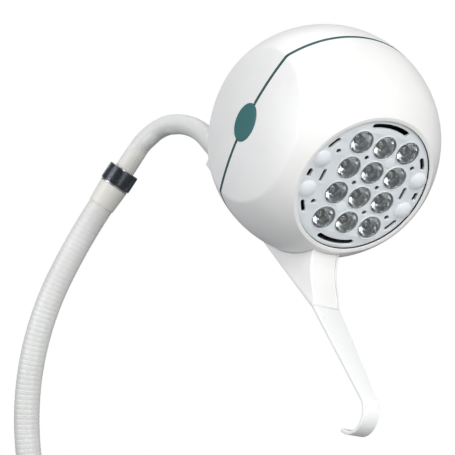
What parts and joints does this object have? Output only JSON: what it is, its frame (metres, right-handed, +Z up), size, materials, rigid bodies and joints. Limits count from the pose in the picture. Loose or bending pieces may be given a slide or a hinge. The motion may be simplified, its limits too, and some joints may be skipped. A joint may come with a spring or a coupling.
{
  "type": "dental operating light",
  "caption": "Ball-shaped LED dental light on a two-stage gooseneck, with a knurled swivel collar, side push buttons and a hooked steering handle.",
  "frame": {"origin": "centre of the mounting spigot at the shoulder of the base fitting", "axes": "+Z up along the spigot; the lower gooseneck leans towards +X; the light faces -Y, +X and down"},
  "size_m": [0.3827, 0.3514, 0.5636],
  "materials": {
    "shell_white": "satin moulded ABS, white",
    "keel_white": "white powder coat on die-cast aluminium",
    "handle_white": "white powder coat on aluminium strip",
    "teal": "dark teal moulded elastomer",
    "teal_button": "teal moulded ABS, fine texture",
    "panel_grey": "pale bluish-grey satin polycarbonate",
    "cap_white": "white gloss caps",
    "clear_lens": "clear acrylic collimator",
    "holder_grey": "grey moulded holder",
    "led_yellow": "phosphor-coated LED",
    "board_black": "black solder mask on aluminium-core board",
    "board_green": "green glass-epoxy board",
    "aluminium": "plain aluminium",
    "zinc_steel": "zinc-plated sheet steel",
    "screw_steel": "zinc-plated screws",
    "spring_steel": "spring wire",
    "copper_coil": "enamelled copper windings",
    "capacitor_can": "sleeved aluminium can",
    "terminal_green": "terminal block",
    "knurled_chrome": "dark chrome, straight knurl",
    "bright_steel": "turned and polished steel",
    "turned_steel": "turned steel",
    "nylon": "natural nylon",
    "cream_boot": "cream soft PVC",
    "sleeve_grey": "ribbed grey-white PVC sleeve",
    "core_steel": "wound steel gooseneck core"
  },
  "bodies": {
    "base": {"mount_spigot": "bright_steel", "base_fitting": "bright_steel", "base_grub_screws": "screw_steel", "lower_sleeve": "sleeve_grey", "lower_core_1": "core_steel"},
    "lower_link_1": {"lower_core_2": "core_steel"},
    "lower_link_2": {"lower_core_3": "core_steel"},
    "lower_link_3": {"lower_core_4": "core_steel"},
    "lower_link_4": {"lower_core_5": "core_steel"},
    "lower_link_5": {"lower_core_6": "core_steel"},
    "collar": {"lower_core_7": "core_steel", "collar_ferrule": "cream_boot", "collar_body": "turned_steel", "lower_washer": "nylon"},
    "collar_nut": {"collar_nut": "knurled_chrome", "upper_washer": "nylon"},
    "swivel": {"swivel_stem": "turned_steel", "swivel_boot": "cream_boot", "upper_core_1": "core_steel", "upper_sleeve": "sleeve_grey"},
    "upper_link_1": {"upper_core_2": "core_steel"},
    "upper_link_2": {"upper_core_3": "core_steel"},
    "upper_link_3": {"upper_core_4": "core_steel"},
    "head": {"front_shell": "shell_white", "rear_shell": "shell_white", "shell_screws": "screw_steel", "seam_gasket": "teal", "lens_panel": "panel_grey", "panel_plugs": "cap_white", "panel_caps": "cap_white", "panel_screws": "screw_steel", "collimator_lenses": "clear_lens", "lens_holders": "holder_grey", "leds": "led_yellow", "led_board": "board_black", "heat_sink": "aluminium", "rear_pillars": "aluminium", "front_pillars": "aluminium", "chassis": "zinc_steel", "foot_screws": "screw_steel", "driver_board": "board_green", "driver_standoffs": "aluminium", "driver_screws": "screw_steel", "driver_coils": "copper_coil", "driver_capacitors": "capacitor_can", "terminal_block": "terminal_green", "bracket_screws": "screw_steel", "push_switches": "board_green", "switch_brackets": "zinc_steel", "left_spring": "spring_steel", "right_spring": "spring_steel", "keel_bracket": "keel_white", "neck_plug": "turned_steel", "socket_screw": "screw_steel", "keel_front_cover": "keel_white", "handle_screws": "screw_steel", "handle_strip": "handle_white", "upper_core_5": "core_steel"},
    "left_button": {"left_button": "teal_button"},
    "right_button": {"right_button": "teal_button"}
  },
  "joints": [
    {"name": "lower_bend_1", "type": "hinge", "parent": "base", "child": "lower_link_1", "pos_m": [-0.00036, 0, 0.07942], "axis": [0, 1, 0], "range_deg": [-15, 15], "deforming": ["lower_sleeve"]},
    {"name": "lower_sway_1", "type": "hinge", "parent": "lower_link_1", "child": "lower_link_2", "pos_m": [-0.00513, 0, 0.13404], "axis": [0.9949, 0, 0.1007], "range_deg": [-15, 15]},
    {"name": "lower_bend_2", "type": "hinge", "parent": "lower_link_2", "child": "lower_link_3", "pos_m": [-0.00568, 0, 0.18881], "axis": [0, 1, 0], "range_deg": [-15, 15]},
    {"name": "lower_sway_2", "type": "hinge", "parent": "lower_link_3", "child": "lower_link_4", "pos_m": [0.00367, 0, 0.24277], "axis": [0.9658, 0, -0.2594], "range_deg": [-15, 15]},
    {"name": "lower_bend_3", "type": "hinge", "parent": "lower_link_4", "child": "lower_link_5", "pos_m": [0.02261, 0, 0.29417], "axis": [0, 1, 0], "range_deg": [-15, 15]},
    {"name": "lower_sway_3", "type": "hinge", "parent": "lower_link_5", "child": "collar", "pos_m": [0.04867, 0, 0.34241], "axis": [0.8582, 0, -0.5134], "range_deg": [-15, 15]},
    {"name": "collar_nut_turn", "type": "hinge", "parent": "collar", "child": "collar_nut", "pos_m": [0.08027, 0, 0.39154], "axis": [0.549, 0, 0.8358], "range_deg": [0, 180]},
    {"name": "neck_swivel", "type": "hinge", "parent": "collar", "child": "swivel", "pos_m": [0.08027, 0, 0.39154], "axis": [0.549, 0, 0.8358], "range_deg": [-150, 150]},
    {"name": "upper_bend_1", "type": "hinge", "parent": "swivel", "child": "upper_link_1", "pos_m": [0.10831, -0.00255, 0.43037], "axis": [0.644, 0.6374, -0.423], "range_deg": [-18, 18], "deforming": ["upper_sleeve"]},
    {"name": "upper_sway_1", "type": "hinge", "parent": "upper_link_1", "child": "upper_link_2", "pos_m": [0.13402, -0.02133, 0.44121], "axis": [-0.3145, -0.2835, -0.9059], "range_deg": [-18, 18]},
    {"name": "upper_bend_2", "type": "hinge", "parent": "upper_link_2", "child": "upper_link_3", "pos_m": [0.15543, -0.04738, 0.43456], "axis": [0.644, 0.6374, -0.423], "range_deg": [-18, 18]},
    {"name": "upper_sway_2", "type": "hinge", "parent": "upper_link_3", "child": "head", "pos_m": [0.17059, -0.07364, 0.41807], "axis": [-0.6464, 0.1576, -0.7466], "range_deg": [-18, 18]},
    {"name": "left_button_press", "type": "slide", "parent": "head", "child": "left_button", "axis": [0.81, 0.5593, -0.176], "range_m": [0, 0.002], "stiffness_N_per_m": 1500, "springref_m": -0.001, "deforming": ["left_spring"]},
    {"name": "right_button_press", "type": "slide", "parent": "head", "child": "right_button", "axis": [-0.81, -0.5593, 0.176], "range_m": [0, 0.002], "stiffness_N_per_m": 1500, "springref_m": -0.001, "deforming": ["right_spring"]}
  ]
}
